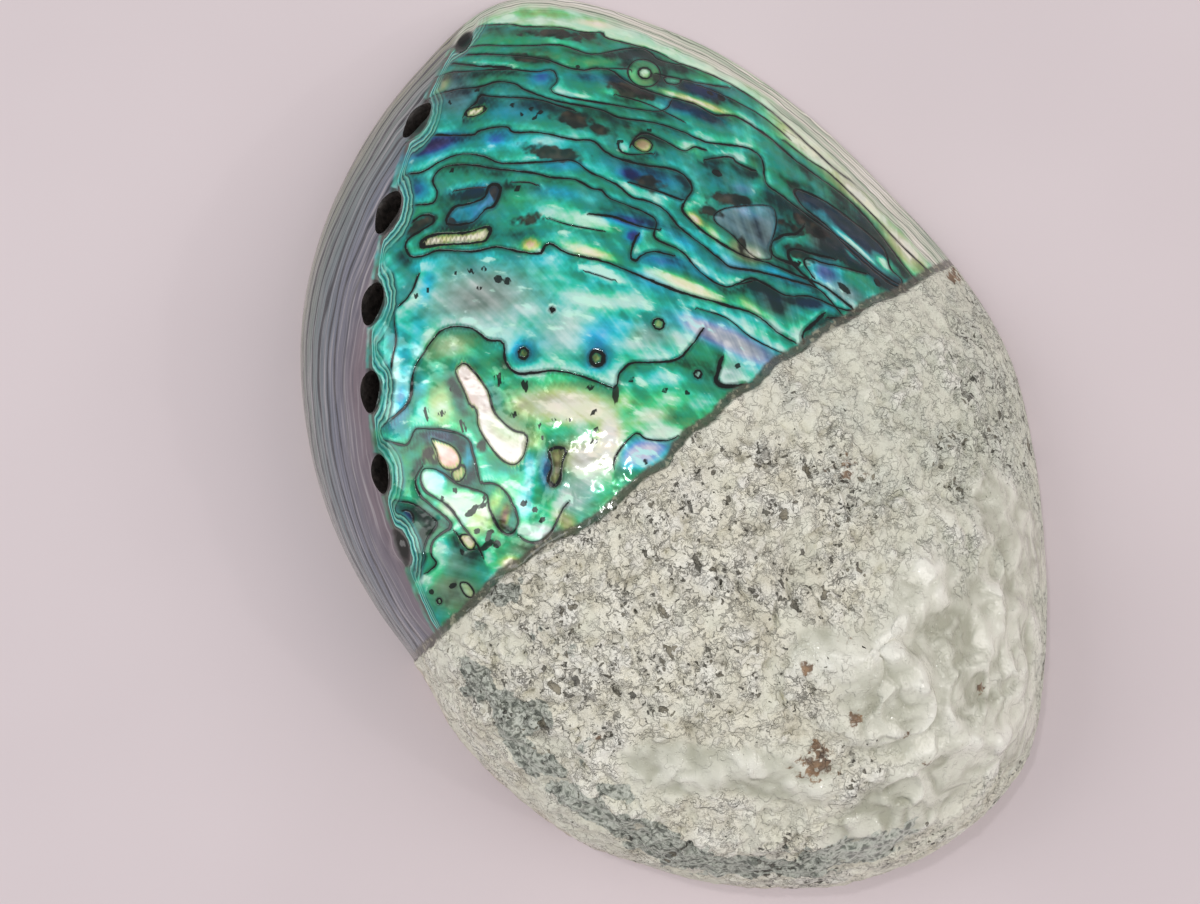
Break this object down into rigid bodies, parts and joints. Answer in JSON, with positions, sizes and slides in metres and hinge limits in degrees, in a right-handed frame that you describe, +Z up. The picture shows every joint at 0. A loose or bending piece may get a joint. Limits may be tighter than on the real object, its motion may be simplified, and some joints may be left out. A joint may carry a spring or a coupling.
{
  "type": "abalone shell",
  "caption": "Domed oval abalone shell on its lip: polished iridescent nacre in front, rough lime crust behind, a row of breathing holes along one side, hollow beneath.",
  "frame": {"origin": "on the plane that the lip rests on, under the middle of the outline seen from above", "axes": "+Z up out of the dome, +Y along the length to the front lip, the breathing holes on the -X side"},
  "size_m": [0.1066, 0.149, 0.0411],
  "materials": {
    "shell": "polished"
  },
  "bodies": {
    "root": {"shell": "shell"}
  },
  "joints": []
}
